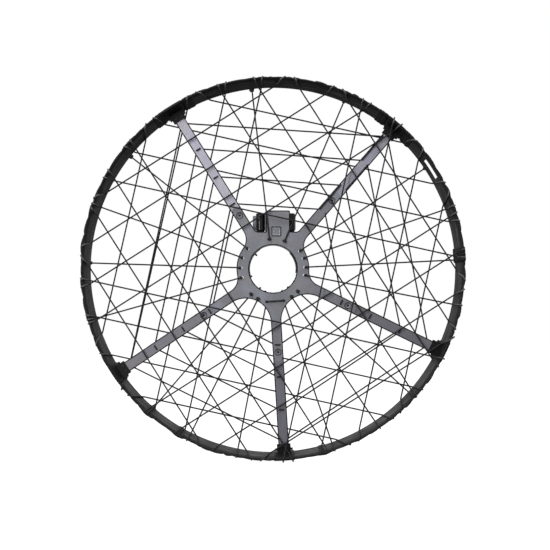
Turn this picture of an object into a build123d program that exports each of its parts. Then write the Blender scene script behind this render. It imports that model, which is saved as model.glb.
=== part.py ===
"""Propeller guard cage: a hoop on five flat spars, a star-shaped hub plate and a laced cord net.

Frame: the origin is the centre of the hub opening, +Z is up, +X is to the right and the front faces -Y.
Clock angles are degrees clockwise from +Z, as seen from the front.
"""

import os
from math import atan2, cos, degrees, hypot, radians, sin, sqrt

from build123d import *

os.makedirs("parts", exist_ok=True)

# ---- driving dimensions, millimetres and degrees ------------------------------------------------

# hoop: a slanted flat band with round edges; its wide front edge is the outermost
band_thickness = 7.0
band_rear_r, band_rear_y = 703.5, 22.0       # centre of the rear edge's rounding
band_front_r, band_front_y = 718.5, -50.0    # centre of the front edge's rounding
hoop_joint_gap = 0.5
vent_slot = (54.5, 61.0)                     # clock angles of the slot's ends
vent_slot_r = (707.5, 715.5)

# spars and hub arms
plate_thickness = 8.0
bar_width = 38.0
lap_gap = 0.3
spar_end_r = 697.0

spar_clock = {
    "upper_left": 328.0,
    "upper_right": 40.8,
    "lower_right": 116.1,
    "bottom": 176.5,
    "lower_left": 236.1,
}
button_r = {
    "upper_left": 240.0,
    "upper_right": 345.0,
    "lower_right": 318.0,
    "bottom": 318.0,
    "lower_left": 318.0,
}
tongue_past_button = 36.0
tail_before_button = 20.0

# hub plate
opening_r = 92.0
ring_r = 138.0
side_fillet, arm_fillet, tab_fillet = 57.0, 18.0, 3.0
lower_web_r = 136.5                          # nearest point of the plate's edge between the lower arms
top_edge_z = 141.0
tab_x, tab_top_z = (-26.0, 64.0), 222.0
collar_wall, collar_depth, collar_chamfer = 7.0, 22.0, 1.5
badge_size, badge_centre = 38.0, (13.0, 142.5)
badge_rim, badge_proud = 3.5, 0.5

# mount block and its sockets
block_x, block_z = (-30.5, 51.5), (128.0, 216.0)
saddle_x, saddle_z = (-78.0, 87.0), (152.0, 206.0)
block_rear_y = 48.0
block_fillet, saddle_fillet = 5.0, 4.0
socket_r, socket_bore_r = 17.5, 12.5
socket_x = {"left": -48.0, "right": 67.5}
socket_y, socket_z = 22.5, (143.0, 214.0)
socket_bore_depth = 60.0
socket_foot_fillet, socket_lip_fillet = 9.0, 2.0
block_screw_x, block_screw_z = (-16.5, 37.5), 204.0
block_screw_r, block_screw_head_r, block_screw_head = 3.0, 5.5, 5.8
hex_r, hex_depth = 2.6, 3.0
frame_bolt_x, frame_bolt_z = (-58.0, 67.0), (164.0, 194.0)
frame_bolt_hole_r, frame_bolt_depth = 2.5, 7.0

# joint buttons
bezel_r, bezel_body_r, bezel_proud = 12.4, 11.0, 0.8
stem_r, stem_clearance = 3.75, 0.35
button_proud, button_travel = 0.6, 4.6
shoulder_r, shoulder_y = 6.5, (4.3, 6.5)
cup_r, cup_bore_r, cup_rear_y, cup_floor = 10.5, 7.5, 22.0, 2.0
cup_flange = 2.0                             # both how wide and how thick
spring_r, spring_wire, spring_turns = 5.4, 0.9, 5
spring_seat_r, spring_seat = 3.5, 4.0

# rim clips
clip_half_angle = 3.1
clip_wall, clip_clearance = 3.0, 0.25
clip_box_r, clip_box_width, clip_box_half_y = (668.0, 703.0), 52.0, 6.6
clip_pocket_clearance = 0.3
ear_size, ear_r = 8.0, 688.0
screw_r, screw_head_r, screw_head = 2.0, 3.5, 1.1
screw_stations = ((681.0, -11.0), (681.0, 11.0))

# net
cord_r = 2.5
cord_clearance = 0.3
layer_pitch = 2 * cord_r + cord_clearance
first_layer = plate_thickness / 2 + cord_r + 0.5
chord_spacing = 130.0
chord_offsets = (1.5, 2.5, 3.5, 4.5)         # in chord spacings, both sides of the centre
chord_tilts = {"rising_low": 32.5, "rising_steep": 77.5, "falling_steep": 122.5, "falling_low": 167.5}
web_radii = (290.0, 412.0, 538.0, 660.0)
stitch_hole_r, edge_stitch_hole_r = 2.9, 2.8
stitch_half_width, edge_stitch = 8.5, 14.5
lace_hole_r, lace_offset = 4.5, 1.7          # a side lace lies off its hole's centre, away from the hub
tight_hole_r = 2.8                           # the other laces fill theirs
lace_tail = 4.5                              # past the plate's far face, where a knot stops it
bend_r, edge_bend_r, face_bend_r = 3.0, 5.0, 12.0
band_wrap = 24.0                             # a cord's tail on the band's outer side
side_lace_r, lower_lace_r, top_lace_r = 121.0, 126.0, 113.0
knot_seat_r = 702.0                          # where a knot's outer side rests near the band
hub_knot_r = 4.4
knot_bore_r = cord_r + 0.1
web_joint_before = 12.2                      # each round of the web butts on the next this far before a hole

# ---- helpers ------------------------------------------------------------------------------------

half_plate = plate_thickness / 2
spar_names = list(spar_clock)
band_rise = (band_front_r - band_rear_r) / (band_rear_y - band_front_y)
band_tilt = degrees(atan2(band_front_y - band_rear_y, band_front_r - band_rear_r))
band_length = hypot(band_front_r - band_rear_r, band_front_y - band_rear_y)


def at(r, clock, side=0.0):
    """X and Z of the point at radius r on a clock angle, shifted clockwise by side."""
    a = radians(clock)
    return r * sin(a) + side * cos(a), r * cos(a) - side * sin(a)


def facing(y):
    """A plane that faces the front, at depth y; its local x and y are X and Z."""
    return Plane(origin=(0, y, 0), x_dir=(1, 0, 0), z_dir=(0, -1, 0))


def meridian(clock):
    """The half plane through the Y axis at a clock angle; local x is the radius, local y is Y."""
    a = radians(clock)
    return Plane(origin=(0, 0, 0), x_dir=(sin(a), 0, cos(a)), z_dir=(-cos(a), 0, sin(a)))


def save(piece, label):
    piece.part.label = label
    export_step(piece.part, f"parts/{label}.step")


def tongue_end(name):
    return button_r[name] + tongue_past_button


def tail_start(name):
    return button_r[name] - tail_before_button


def next_spar(name):
    return spar_names[(spar_names.index(name) + 1) % len(spar_names)]


# stitches run straight across every spar but the upper right one, where they follow its edges
def stitch_holes(name):
    """(radius, side) of the lacing holes along one arm and spar."""
    inner_three = web_radii[:3]
    if name != "upper_right":
        return [(r, side) for r in inner_three for side in (-stitch_half_width, stitch_half_width)]
    return [
        (web_radii[0], edge_stitch),
        (web_radii[0], -edge_stitch),
        (web_radii[1], -edge_stitch),
        (web_radii[1], edge_stitch),
        (web_radii[2], edge_stitch),
        (web_radii[2], -edge_stitch),
        (web_radii[3], -edge_stitch),
    ]


def stitch_hole_size(name):
    return edge_stitch_hole_r if name == "upper_right" else stitch_hole_r


# clock, radius of the hub hole, whether it passes in front of the plate, and
# the radius of its knot at the hoop, or 0 where it wraps the band
side_laces = [
    (56.5, side_lace_r, True, 4.6),
    (71.0, side_lace_r, True, 0.0),
    (87.25, side_lace_r, True, 0.0),
    (101.2, side_lace_r, True, 0.0),
    (254.3, side_lace_r, True, 0.0),
    (271.8, side_lace_r, True, 4.6),
    (289.7, side_lace_r, True, 0.0),
    (308.3, side_lace_r, True, 6.5),
    (353.3, top_lace_r, True, 7.0),
    (23.0, top_lace_r, True, 4.6),
    (132.25, lower_lace_r, False, 0.0),
    (146.2, lower_lace_r, False, 0.0),
    (161.3, lower_lace_r, False, 0.0),
    (191.0, lower_lace_r, False, 0.0),
    (206.5, lower_lace_r, False, 0.0),
    (220.7, lower_lace_r, False, 0.0),
]
joined_laces = (161.3, 191.0)

# ---- hub plate ----------------------------------------------------------------------------------


def lower_gap(first):
    """Centre, radius and tangent points of the arc between two neighbouring lower arms."""
    half_gap = (spar_clock[next_spar(first)] - spar_clock[first]) / 2
    mid = spar_clock[first] + half_gap
    s = sin(radians(half_gap))
    radius = (lower_web_r * s - bar_width / 2) / (1 - s)
    reach = (lower_web_r + radius) * cos(radians(half_gap))
    ends = (
        at(reach, spar_clock[first], bar_width / 2),
        at(reach, spar_clock[next_spar(first)], -bar_width / 2),
    )
    return at(lower_web_r + radius, mid), radius, ends


with BuildPart() as hub_plate:
    with BuildSketch(facing(half_plate)) as hub_outline:
        Circle(ring_r)
        for name, clock in spar_clock.items():
            straight = tongue_end(name) - bar_width / 2
            with Locations(at(straight / 2, clock)):
                Rectangle(bar_width, straight, rotation=-clock)
            with Locations(at(straight, clock)):
                Circle(bar_width / 2)
        for first in ("lower_right", "bottom"):
            centre, radius, ends = lower_gap(first)
            with BuildLine():
                Polyline((0, 0), *ends, close=True)
            make_face()
            with Locations(centre):
                Circle(radius, mode=Mode.SUBTRACT)
        with BuildLine():
            Polyline(
                (0, 0),
                at(top_edge_z / cos(radians(spar_clock["upper_left"])), spar_clock["upper_left"]),
                at(top_edge_z / cos(radians(spar_clock["upper_right"])), spar_clock["upper_right"]),
                close=True,
            )
        make_face()
        with Locations(((tab_x[0] + tab_x[1]) / 2, tab_top_z / 2)):
            Rectangle(tab_x[1] - tab_x[0], tab_top_z)
        top_corners = [v for v in hub_outline.vertices() if abs(v.Y - top_edge_z) < 0.01]
        arm_corners = [v for v in top_corners if not tab_x[0] - 1 < v.X < tab_x[1] + 1]
        fillet(arm_corners, arm_fillet)
        tab_sides = [v for v in hub_outline.vertices() if min(abs(v.X - x) for x in tab_x) < 0.01]
        fillet([v for v in tab_sides if v.Y > top_edge_z - 0.01], tab_fillet)
        side_corners = [
            v for v in hub_outline.vertices() if abs(hypot(v.X, v.Y) - ring_r) < 0.01 and abs(v.Y) > 0.01
        ]
        fillet(side_corners, side_fillet)
        Circle(opening_r, mode=Mode.SUBTRACT)
        with Locations([at(r, clock) for clock, r, *_ in side_laces if r == side_lace_r]):
            Circle(lace_hole_r, mode=Mode.SUBTRACT)
        with Locations([at(r + lace_offset, clock) for clock, r, *_ in side_laces if r != side_lace_r]):
            Circle(tight_hole_r, mode=Mode.SUBTRACT)
        for name, clock in spar_clock.items():
            with Locations([at(r, clock, side) for r, side in stitch_holes(name) if r < tail_start(name)]):
                Circle(stitch_hole_size(name), mode=Mode.SUBTRACT)
            with Locations(at(button_r[name], clock)):
                Circle(bezel_body_r + 0.05, mode=Mode.SUBTRACT)
    extrude(amount=plate_thickness)
    for name, clock in spar_clock.items():
        # the arm's end is thinned from behind to make the tongue of the half lap
        lap_length = tongue_end(name) - tail_start(name) + 2 * lap_gap
        with BuildSketch(facing(half_plate + 1)):
            with Locations(at(tail_start(name) - lap_gap + lap_length / 2, clock)):
                Rectangle(bar_width + 2, lap_length, rotation=-clock)
        extrude(amount=half_plate + 1 + lap_gap / 2, mode=Mode.SUBTRACT)
save(hub_plate, "hub_plate")

with BuildPart() as hub_collar:
    with BuildSketch(facing(half_plate + collar_depth)):
        Circle(opening_r + collar_wall)
        Circle(opening_r, mode=Mode.SUBTRACT)
    extrude(amount=collar_depth)
    chamfer(hub_collar.faces().sort_by(Axis.Y)[-1].outer_wire().edges(), collar_chamfer)
save(hub_collar, "hub_collar")

with BuildPart() as badge_plate:
    with BuildSketch(facing(-half_plate)) as badge_outline:
        with Locations(badge_centre):
            RectangleRounded(badge_size, badge_size, badge_rim + 0.5)
            RectangleRounded(badge_size - 2 * badge_rim, badge_size - 2 * badge_rim, 2.5, mode=Mode.SUBTRACT)
    extrude(amount=badge_proud)
save(badge_plate, "badge_plate")

# ---- mount block and upright sockets ------------------------------------------------------------


def box_between(x, y, z, mode=Mode.ADD):
    """A box between two values on each axis, inside the current part."""
    with Locations(((x[0] + x[1]) / 2, (y[0] + y[1]) / 2, (z[0] + z[1]) / 2)):
        Box(x[1] - x[0], y[1] - y[0], z[1] - z[0], mode=mode)


with BuildPart() as mount_block:
    box_between(block_x, (half_plate, block_rear_y), block_z)
    fillet(mount_block.edges().filter_by(Axis.Y), block_fillet)
    box_between(saddle_x, (socket_y, block_rear_y), saddle_z)
    fillet(
        [
            e
            for e in mount_block.edges().filter_by(Axis.Y)
            if min(abs(e.center().X - x) for x in saddle_x) < 0.01
        ],
        saddle_fillet,
    )
    for x in socket_x.values():
        with BuildSketch(Plane.XY.offset(socket_z[0] - 5)):
            with Locations((x, socket_y)):
                Circle(socket_r)
        extrude(amount=socket_z[1] - socket_z[0] + 10, mode=Mode.SUBTRACT)
    rear_face = Plane(origin=(0, block_rear_y, 0), x_dir=(-1, 0, 0), z_dir=(0, 1, 0))
    with BuildSketch(rear_face):
        with Locations([(-x, z) for x in frame_bolt_x for z in frame_bolt_z]):
            Circle(frame_bolt_hole_r)
    extrude(amount=-frame_bolt_depth, mode=Mode.SUBTRACT)
    with Locations(rear_face):
        with Locations([(-x, block_screw_z) for x in block_screw_x]):
            CounterBoreHole(
                block_screw_r + 0.2,
                block_screw_head_r + 0.5,
                block_screw_head + 0.2,
                depth=block_rear_y - half_plate,
            )
save(mount_block, "mount_block")

for side, x in socket_x.items():
    with BuildPart() as socket:
        with BuildSketch(Plane.XY.offset(socket_z[0])):
            with Locations((x, socket_y)):
                Circle(socket_r)
        extrude(amount=socket_z[1] - socket_z[0])
        fillet(socket.faces().sort_by(Axis.Z)[0].edges(), socket_foot_fillet)
        fillet(socket.faces().sort_by(Axis.Z)[-1].edges(), socket_lip_fillet)
        with BuildSketch(Plane.XY.offset(socket_z[1])):
            with Locations((x, socket_y)):
                Circle(socket_bore_r)
        extrude(amount=-socket_bore_depth, mode=Mode.SUBTRACT)
    save(socket, f"upright_socket_{side}")

with BuildPart() as block_screws:
    centres = [(x, block_screw_z) for x in block_screw_x]
    with BuildSketch(facing(block_rear_y)):
        with Locations(centres):
            Circle(block_screw_head_r)
    extrude(amount=block_screw_head)
    with BuildSketch(facing(block_rear_y - block_screw_head)):
        with Locations(centres):
            Circle(block_screw_r)
    extrude(amount=block_rear_y - block_screw_head - half_plate)
    with BuildSketch(facing(block_rear_y)):
        with Locations(centres):
            RegularPolygon(hex_r, 6)
    extrude(amount=hex_depth, mode=Mode.SUBTRACT)
save(block_screws, "block_screws")

# ---- spars, buttons, bezels, cups and springs ---------------------------------------------------

for name, clock in spar_clock.items():
    tail, tongue, centre = tail_start(name), tongue_end(name), at(button_r[name], clock)

    with BuildPart() as spar:
        with BuildSketch(facing(half_plate)):
            with Locations(at((tail + spar_end_r) / 2, clock)):
                Rectangle(bar_width, spar_end_r - tail, rotation=-clock)
            with Locations([at(r, clock, side) for r, side in stitch_holes(name) if r > tail]):
                Circle(stitch_hole_size(name), mode=Mode.SUBTRACT)
            with Locations([at(r, clock, side) for r, side in screw_stations]):
                Circle(screw_r + 0.05, mode=Mode.SUBTRACT)
        extrude(amount=plate_thickness)
        # pocket for the tongue, open to the front
        with BuildSketch(facing(lap_gap / 2)):
            pocket = tongue - bar_width / 2
            with Locations(at((tail - 2 + pocket) / 2, clock)):
                Rectangle(bar_width + 2, pocket - tail + 2, rotation=-clock)
            with Locations(at(pocket, clock)):
                Circle(bar_width / 2 + lap_gap)
        extrude(amount=half_plate + 1, mode=Mode.SUBTRACT)
        with BuildSketch(facing(half_plate)):
            with Locations(centre):
                Circle(stem_r + stem_clearance)
        extrude(amount=plate_thickness, mode=Mode.SUBTRACT)
    save(spar, f"spar_{name}")

    axle = Plane(origin=(centre[0], 0, centre[1]), x_dir=(1, 0, 0), z_dir=(0, 0, 1))
    turn = Axis((centre[0], 0, centre[1]), (0, 1, 0))

    with BuildPart() as bezel:
        with BuildSketch(axle):
            with BuildLine():
                Polyline(
                    (stem_r + stem_clearance, -lap_gap),
                    (bezel_body_r, -lap_gap),
                    (bezel_body_r, -half_plate),
                    (bezel_r, -half_plate),
                    (bezel_r, -half_plate - bezel_proud + 0.3),
                    (bezel_r - 0.5, -half_plate - bezel_proud),
                    (bezel_r - 2.2, -half_plate - bezel_proud),
                    (stem_r + stem_clearance + 1, -2.0),
                    (stem_r + stem_clearance, -1.6),
                    close=True,
                )
            make_face()
        revolve(axis=turn)
    save(bezel, f"button_bezel_{name}")

    with BuildPart() as button:
        with BuildSketch(axle):
            with BuildLine():
                Polyline(
                    (0, -half_plate - button_proud),
                    (stem_r - 0.8, -half_plate - button_proud),
                    (stem_r, -half_plate - button_proud + 0.8),
                    (stem_r, shoulder_y[0]),
                    (shoulder_r, shoulder_y[0]),
                    (shoulder_r, shoulder_y[1]),
                    (spring_seat_r, shoulder_y[1]),
                    (spring_seat_r, shoulder_y[1] + spring_seat),
                    (0, shoulder_y[1] + spring_seat),
                    close=True,
                )
            make_face()
        revolve(axis=turn)
    save(button, f"release_button_{name}")

    with BuildPart() as cup:
        with BuildSketch(axle):
            with BuildLine():
                Polyline(
                    (cup_bore_r, half_plate),
                    (cup_r + cup_flange, half_plate),
                    (cup_r + cup_flange, half_plate + cup_flange),
                    (cup_r, half_plate + cup_flange + 1),
                    (cup_r, cup_rear_y - 1.5),
                    (cup_r - 1.5, cup_rear_y),
                    (0, cup_rear_y),
                    (0, cup_rear_y - cup_floor),
                    (cup_bore_r, cup_rear_y - cup_floor),
                    close=True,
                )
            make_face()
        revolve(axis=turn)
    save(cup, f"button_cup_{name}")

    spring_start = shoulder_y[1] + spring_wire / 2 + 0.05
    spring_length = cup_rear_y - cup_floor - spring_wire / 2 - 0.05 - spring_start
    with BuildPart() as spring:
        with BuildLine() as coil:
            Helix(
                spring_length / spring_turns,
                spring_length,
                spring_r,
                center=(centre[0], spring_start, centre[1]),
                direction=(0, 1, 0),
            )
        with BuildSketch(Plane(origin=coil.line @ 0, z_dir=coil.line % 0)):
            Circle(spring_wire / 2)
        sweep(path=coil.line, is_frenet=True)
    save(spring, f"button_spring_{name}")

# ---- hoop and rim clips -------------------------------------------------------------------------


def band_section(clock, growth=0.0):
    """Sketch the band's cross-section, grown all round, on the meridian at a clock angle."""
    with BuildSketch(meridian(clock)) as section:
        with Locations(((band_rear_r + band_front_r) / 2, (band_rear_y + band_front_y) / 2)):
            SlotCenterToCenter(band_length, band_thickness + 2 * growth, rotation=band_tilt)
    return section.sketch


for name, clock in spar_clock.items():
    gap = degrees(hoop_joint_gap / 2 / band_front_r)
    span = (spar_clock[next_spar(name)] - clock) % 360
    with BuildPart() as segment:
        revolve(band_section(clock + gap), axis=Axis.Y, revolution_arc=span - 2 * gap)
        if name == "upper_right":
            with BuildSketch(meridian(vent_slot[0])):
                with Locations((sum(vent_slot_r) / 2, 0)):
                    Rectangle(vent_slot_r[1] - vent_slot_r[0], 4 * abs(band_front_y))
            revolve(axis=Axis.Y, revolution_arc=vent_slot[1] - vent_slot[0], mode=Mode.SUBTRACT)
    save(segment, f"hoop_{name}_to_{next_spar(name)}")

    with BuildPart() as clip:
        sleeve = band_section(clock - clip_half_angle, clip_clearance + clip_wall)
        revolve(sleeve, axis=Axis.Y, revolution_arc=2 * clip_half_angle)
        with BuildSketch(facing(clip_box_half_y)):
            with Locations(at(sum(clip_box_r) / 2, clock)):
                Rectangle(clip_box_width, clip_box_r[1] - clip_box_r[0], rotation=-clock)
            ear_side = (clip_box_width + ear_size - 1) / 2
            with Locations([at(ear_r, clock, side) for side in (-ear_side, ear_side)]):
                Rectangle(ear_size, ear_size, rotation=-clock)
        extrude(amount=2 * clip_box_half_y)
        band_space = band_section(clock - clip_half_angle - 1, clip_clearance)
        revolve(band_space, axis=Axis.Y, revolution_arc=2 * clip_half_angle + 2, mode=Mode.SUBTRACT)
        pocket_floor = spar_end_r + clip_pocket_clearance
        with BuildSketch(facing(half_plate + clip_pocket_clearance)):
            with Locations(at((clip_box_r[0] - 5 + pocket_floor) / 2, clock)):
                Rectangle(
                    bar_width + 2 * clip_pocket_clearance,
                    pocket_floor - clip_box_r[0] + 5,
                    rotation=-clock,
                )
        extrude(amount=plate_thickness + 2 * clip_pocket_clearance, mode=Mode.SUBTRACT)
        with BuildSketch(facing(clip_box_half_y)):
            with Locations([at(r, clock, side) for r, side in screw_stations]):
                Circle(screw_r + 0.05)
        extrude(amount=2 * clip_box_half_y, mode=Mode.SUBTRACT)
    save(clip, f"rim_clip_{name}")

with BuildPart() as clip_screws:
    for clock in spar_clock.values():
        for r, side in screw_stations:
            with BuildSketch(facing(clip_box_half_y)):
                with Locations(at(r, clock, side)):
                    Circle(screw_r)
            extrude(amount=2 * clip_box_half_y)
            with BuildSketch(facing(-clip_box_half_y)):
                with Locations(at(r, clock, side)):
                    Circle(screw_head_r)
            extrude(amount=screw_head)
save(clip_screws, "clip_screws")

# ---- net ----------------------------------------------------------------------------------------


def depth(layer):
    """Y of a cord layer: 1, 2, ... count backwards from the plate, -1, -2, ... forwards."""
    step = first_layer + (abs(layer) - 1) * layer_pitch
    return step if layer > 0 else -step


def rim_corners(layer, extra):
    """(radius, y) corners of a cord from its layer up the band's inner face and over its front edge.

    extra is the thickness of a clip that the cord lies on.
    """
    off = band_thickness / 2 + cord_r + cord_clearance + extra
    tilt = radians(band_tilt)
    inner_r = band_rear_r + off * sin(tilt)
    inner_y = band_rear_y - off * cos(tilt)
    outer_r = band_front_r - off * sin(tilt)
    outer_y = band_front_y + off * cos(tilt)
    front_y = band_front_y - off
    tail_y = front_y + band_wrap
    return [
        (inner_r + (inner_y - depth(layer)) * band_rise, depth(layer)),
        (inner_r + (inner_y - front_y) * band_rise, front_y),
        (outer_r + (outer_y - front_y) * band_rise, front_y),
        (outer_r + (outer_y - tail_y) * band_rise, tail_y),
    ]


def on_clip(clock):
    """True where a cord that meets the band at this clock angle touches a rim clip."""
    reach = clip_half_angle + 0.4
    return any(abs((clock - c + 180) % 360 - 180) < reach for c in spar_clock.values())


def clip_lift(tilt, offset, sign):
    """Thickness of the clip under one end of a chord, or nothing."""
    for r in (band_rear_r - 5, band_rear_r + 5, band_front_r, band_front_r + 7):
        along = sign * sqrt(r * r - offset * offset)
        t = radians(tilt)
        x = along * cos(t) - offset * sin(t)
        z = along * sin(t) + offset * cos(t)
        if on_clip(degrees(atan2(x, z))):
            return clip_wall + clip_clearance
    return 0.0


def chord_layer(tilt, offset):
    """Layer of a chord: the low and falling families lie in front, the others mostly behind."""
    if tilt == chord_tilts["rising_low"]:
        return -2
    if tilt == chord_tilts["falling_steep"]:
        return -3
    if tilt == chord_tilts["falling_low"]:
        return -4 if abs(offset) < 1.6 * chord_spacing else 4
    over_clips = offset < 0 and abs(offset) < 2.6 * chord_spacing
    return -5 if over_clips else 3


def lace_end(in_front):
    """Y of a lace's end, past the plate's face that it comes through to."""
    return half_plate + lace_tail if in_front else -half_plate - lace_tail


def tube(points, radii, plane=None):
    """Sweep a cord along straight runs joined by arcs; points are in the plane, or in space."""
    with BuildLine(plane or Plane.XY) as route:
        FilletPolyline(*points, radius=radii)
    with BuildSketch(Plane(origin=route.line @ 0, z_dir=route.line % 0)) as section:
        Circle(cord_r)
    sweep(section.sketch, path=route.line)


for family, tilt in chord_tilts.items():
    with BuildPart() as chords:
        for step in chord_offsets:
            for offset in (-step * chord_spacing, step * chord_spacing):
                layer = chord_layer(tilt, offset)
                t = radians(tilt)
                # local x runs along the chord, local y is Y
                chord_plane = Plane(
                    origin=(-offset * sin(t), 0, offset * cos(t)),
                    x_dir=(cos(t), 0, sin(t)),
                    z_dir=(-sin(t), 0, cos(t)),
                )
                ends = [
                    [
                        (sign * sqrt(r * r - offset * offset), y)
                        for r, y in rim_corners(layer, clip_lift(tilt, offset, sign))
                    ]
                    for sign in (-1, 1)
                ]
                points = ends[0][::-1] + ends[1]
                radii = [edge_bend_r, edge_bend_r, face_bend_r]
                tube(points, radii + radii[::-1], chord_plane)
    save(chords, f"net_chords_{family}")

with BuildPart() as radial_cords:
    for clock, lace_r, in_front, knot_r in side_laces:
        if clock == joined_laces[0]:
            continue
        layer = -1 if in_front else 2
        out_to = [(knot_seat_r - knot_r, depth(layer))] if knot_r else rim_corners(layer, 0.0)
        rim_radii = [] if knot_r else [face_bend_r, edge_bend_r, edge_bend_r]
        hole_r = lace_r + lace_offset
        if clock == joined_laces[1]:
            # one cord runs in, through the plate, across its front and out again
            inward = [(*at(r, clock), y) for r, y in out_to][::-1]
            through = [
                (*at(hole_r, clock), depth(layer)),
                (*at(hole_r, clock), depth(-1)),
                (*at(hole_r, joined_laces[0]), depth(-1)),
                (*at(hole_r, joined_laces[0]), depth(layer)),
            ]
            outward = [(*at(r, joined_laces[0]), y) for r, y in out_to]
            route = [(x, y, z) for x, z, y in inward + through + outward]
            radii = rim_radii[::-1] + [bend_r] * 4 + rim_radii
            tube(route, radii)
            continue
        far_y = lace_end(in_front)
        points = [(hole_r, far_y), (hole_r, depth(layer))] + out_to
        tube(points, [bend_r] + rim_radii, meridian(clock))
save(radial_cords, "radial_cords")

with BuildPart() as cord_knots:
    for clock, lace_r, in_front, knot_r in side_laces:
        layer = -1 if in_front else 2
        if clock not in joined_laces:
            y = lace_end(in_front)
            x, z = at(lace_r + lace_offset, clock)
            with Locations((x, y, z)):
                Sphere(hub_knot_r)
            with BuildSketch(facing(y)):
                with Locations((x, z)):
                    Circle(knot_bore_r)
            extrude(amount=hub_knot_r + 1 if in_front else -hub_knot_r - 1, mode=Mode.SUBTRACT)
        if knot_r:
            x, z = at(knot_seat_r - knot_r, clock)
            with Locations((x, depth(layer), z)):
                Sphere(knot_r)
            inward = Plane(origin=(x, depth(layer), z), z_dir=(-x, 0, -z))
            with BuildSketch(inward):
                Circle(knot_bore_r)
            extrude(amount=knot_r + 2, mode=Mode.SUBTRACT)
save(cord_knots, "cord_knots")


def web_round(number):
    """Corners (x, y, z) of one round of the web, and the bend radius at each corner.

    Odd and even rounds run opposite ways round the cage, each from the upper right spar back to it.
    """
    r = web_radii[number]
    back, front = depth(1), depth(-1)
    clockwise = number % 2 == 0
    order = spar_names[2:] + spar_names[:1] if clockwise else (spar_names[2:] + spar_names[:1])[::-1]
    enter = -1 if clockwise else 1
    start_side = edge_stitch if clockwise else -edge_stitch
    last = number == len(web_radii) - 1
    upper = spar_clock["upper_right"]
    corners = []
    if number == 0:
        corners.append((at(r, upper, start_side), front - 2.5))
    else:
        corners.append((at(r - web_joint_before + 0.2, upper, start_side), front))
        corners.append((at(r, upper, start_side), front))
    corners.append((at(r, upper, start_side), back))
    for name in order:
        clock = spar_clock[name]
        if last:
            corners.append((at(r, clock), back))
            continue
        corners.append((at(r, clock, enter * stitch_half_width), back))
        corners.append((at(r, clock, enter * stitch_half_width), front))
        corners.append((at(r, clock, -enter * stitch_half_width), front))
        corners.append((at(r, clock, -enter * stitch_half_width), back))
    if last:
        corners.append((at(r, upper, edge_stitch), back))
    else:
        corners.append((at(r, upper, -start_side), back))
        corners.append((at(r, upper, -start_side), front))
        corners.append((at(web_radii[number + 1] - web_joint_before, upper, -start_side), front))
    points = [(x, y, z) for (x, z), y in corners]
    return points, [bend_r] * (len(points) - 2)


with BuildPart() as web_cord:
    for number in range(len(web_radii)):
        points, radii = web_round(number)
        tube(points, radii)
save(web_cord, "web_cord")
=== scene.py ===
"""Looks of the propeller guard cage: finishes for the CAD nodes, twisted net cords, wraps and trim.

Everything is in metres in the CAD frame: the hub opening's centre is the origin, +Z is up, the front
faces -Y, and clock angles are degrees clockwise from +Z, as seen from the front.
"""

import math
import random

import bpy
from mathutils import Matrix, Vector


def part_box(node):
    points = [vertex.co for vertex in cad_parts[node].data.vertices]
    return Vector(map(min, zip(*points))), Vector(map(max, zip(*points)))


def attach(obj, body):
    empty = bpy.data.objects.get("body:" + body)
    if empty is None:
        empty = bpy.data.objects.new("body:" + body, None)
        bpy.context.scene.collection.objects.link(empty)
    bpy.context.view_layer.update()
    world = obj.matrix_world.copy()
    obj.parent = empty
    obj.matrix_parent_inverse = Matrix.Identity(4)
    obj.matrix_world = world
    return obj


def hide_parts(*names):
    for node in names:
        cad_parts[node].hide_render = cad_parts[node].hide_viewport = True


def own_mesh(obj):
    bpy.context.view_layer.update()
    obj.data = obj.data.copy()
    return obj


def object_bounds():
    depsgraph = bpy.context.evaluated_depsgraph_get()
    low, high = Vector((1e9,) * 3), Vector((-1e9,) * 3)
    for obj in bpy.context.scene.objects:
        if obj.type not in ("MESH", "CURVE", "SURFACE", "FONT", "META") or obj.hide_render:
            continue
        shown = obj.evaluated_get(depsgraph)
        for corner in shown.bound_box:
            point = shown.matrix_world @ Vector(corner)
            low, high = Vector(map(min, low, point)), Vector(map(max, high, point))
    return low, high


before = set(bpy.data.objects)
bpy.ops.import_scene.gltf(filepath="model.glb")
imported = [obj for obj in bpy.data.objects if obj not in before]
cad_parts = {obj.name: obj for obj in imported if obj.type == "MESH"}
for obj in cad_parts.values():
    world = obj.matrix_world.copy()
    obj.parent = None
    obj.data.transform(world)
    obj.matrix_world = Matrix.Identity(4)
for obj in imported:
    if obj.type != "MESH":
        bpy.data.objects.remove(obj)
cad_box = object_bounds()
body = "cage"

# ---- camera ----

camera_distance = 3.5
camera_elevation = math.radians(-4.0)  # it stands a little below the hub's axis
camera_tilt = math.radians(1.0)  # and looks up only this much, so the hoop stays round
camera_lens = 59.9  # in Blender's millimetres
camera_shift = 0.076  # upwards, as a share of the picture
camera_side = 0.0079


def make_camera():
    data = bpy.data.cameras.new("camera")
    data.lens = camera_lens
    data.shift_y = camera_shift
    camera = bpy.data.objects.new("camera", data)
    back = Vector((0, -math.cos(camera_elevation), math.sin(camera_elevation)))
    camera.location = back * camera_distance + Vector((camera_side, 0, 0))
    camera.rotation_euler = (math.pi / 2 + camera_tilt, 0, 0)
    bpy.context.scene.collection.objects.link(camera)
    bpy.context.scene.camera = camera


make_camera()

# ---- net cords, on the routes of the CAD net ----

cord_radius = 0.0025
sheath_radius = 0.0030  # the twisted sheath fills the gap between layers
sheath_groove = 0.12  # depth of the grooves between strands, as a share
cord_clearance = 0.0003
cord_pitch = 0.020  # length of one turn of the cord's strands
strand_count = 3
cord_sides, rings_per_turn = 9, 6
layer_pitch = 2 * cord_radius + cord_clearance
half_plate = 0.004
plate_gap = 0.0005  # between the plate and the first layer
first_layer = half_plate + cord_radius + plate_gap

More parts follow.
